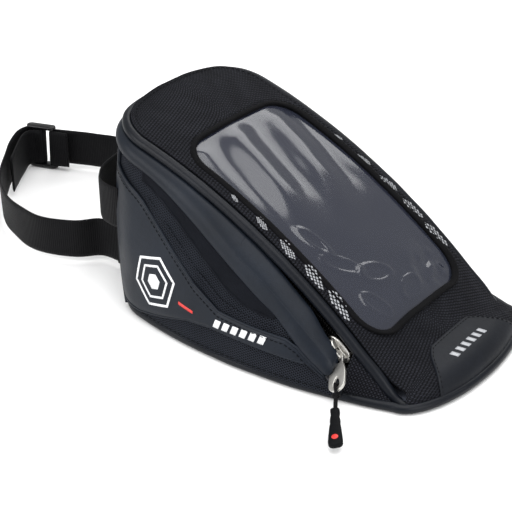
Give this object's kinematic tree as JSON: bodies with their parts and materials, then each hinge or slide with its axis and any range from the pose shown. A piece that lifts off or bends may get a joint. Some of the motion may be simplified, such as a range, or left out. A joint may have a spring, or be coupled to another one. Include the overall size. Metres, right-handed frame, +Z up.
{
  "type": "motorcycle tank bag",
  "caption": "Compact strap-on tank bag with an arched zip-round lid, a clear map window, a storm band, a carry handle and a loop strap with an adjuster",
  "frame": {"origin": "on the plane that the base rests on, on the bag's centre line, 114 mm behind the tip of the nose", "axes": "+X towards the low nose and the rider, +Y to the bike's right, +Z up"},
  "size_m": [0.3799, 0.1874, 0.1123],
  "materials": {
    "ballistic_fabric": "coarse black woven nylon, matt",
    "mesh_fabric": "black spacer mesh with a fine dotted texture, matt",
    "soft_fabric": "soft blue-black lining fabric, matt",
    "leatherette": "smooth dark slate leatherette, semi-gloss",
    "foam": "closed-cell foam sheet, matt",
    "board": "stiff plastic board, matt",
    "zip_tape": "fine black woven tape, matt",
    "zip_coil": "black nylon coil",
    "webbing": "black ribbed nylon webbing, matt",
    "clear_vinyl": "clear flexible vinyl, glossy",
    "bright_metal": "matt silver die-cast metal",
    "cord": "black braided cord",
    "grip_rubber": "soft black rubber, matt",
    "red_mark": "red plastic",
    "buckle_plastic": "black acetal, glossy"
  },
  "bodies": {
    "bag_body": {"base_panel": "soft_fabric", "base_board": "board", "base_piping": "leatherette", "base_piping_cord": "cord", "left_side_panel": "mesh_fabric", "right_side_panel": "mesh_fabric", "left_side_foam": "foam", "right_side_foam": "foam", "left_wing_panel": "leatherette", "right_wing_panel": "leatherette", "left_shoulder_panel": "soft_fabric", "right_shoulder_panel": "soft_fabric", "tall_end_panel": "mesh_fabric", "tall_end_foam": "foam", "storm_band": "leatherette", "wall_lining": "soft_fabric", "floor_lining": "soft_fabric", "nose_panel": "ballistic_fabric", "nose_padding": "foam", "nose_patch": "leatherette", "nose_piping": "leatherette", "lower_zip_tape": "zip_tape", "lower_zip_coil": "zip_coil", "zip_end_stops": "bright_metal", "strap_anchors": "webbing"},
    "lid": {"lid_panel": "ballistic_fabric", "lid_piping": "leatherette", "lid_piping_cord": "cord", "window_vinyl": "clear_vinyl", "window_binding": "zip_tape", "map_pocket_floor": "soft_fabric", "pocket_hook_tape": "zip_tape", "pocket_loop_tape": "zip_tape", "upper_zip_tape": "zip_tape", "upper_zip_coil": "zip_coil"},
    "zip_slider": {"slider_body": "bright_metal", "slider_crown": "bright_metal"},
    "pull_tab": {"pull_tab": "bright_metal"},
    "pull_grip": {"pull_cord": "cord", "pull_grip": "grip_rubber", "grip_inlay": "red_mark"},
    "carry_handle": {"carry_handle": "webbing"},
    "headstock_strap": {"long_strap": "webbing", "short_strap": "webbing", "triglide": "buckle_plastic"}
  },
  "joints": [
    {"name": "lid_fold", "type": "hinge", "parent": "bag_body", "child": "lid", "pos_m": [0.078, 0, 0.021], "axis": [0, 1, 0], "range_deg": [0, 95]},
    {"name": "slider_travel", "type": "hinge", "parent": "bag_body", "child": "zip_slider", "pos_m": [-0.179, 0, -0.2592], "axis": [0, 1, 0], "range_deg": [-9, 0]},
    {"name": "pull_tab_swing", "type": "hinge", "parent": "zip_slider", "child": "pull_tab", "pos_m": [0.05546, -0.0593, 0.01951], "axis": [-0.6374, 0, -0.7705], "range_deg": [0, 75]},
    {"name": "pull_grip_swing", "type": "hinge", "parent": "pull_tab", "child": "pull_grip", "pos_m": [0.064, -0.07348, 0.01244], "axis": [-0.6072, -0.6157, 0.5023], "range_deg": [-10, 35]},
    {"name": "carry_handle_swing", "type": "hinge", "parent": "bag_body", "child": "carry_handle", "pos_m": [-0.098, 0, 0.058], "axis": [0, 1, 0], "range_deg": [-15, 25]},
    {"name": "headstock_strap_swing", "type": "hinge", "parent": "bag_body", "child": "headstock_strap", "pos_m": [-0.1168, 0, 0.016], "axis": [0, 1, 0], "range_deg": [0, 40]}
  ]
}
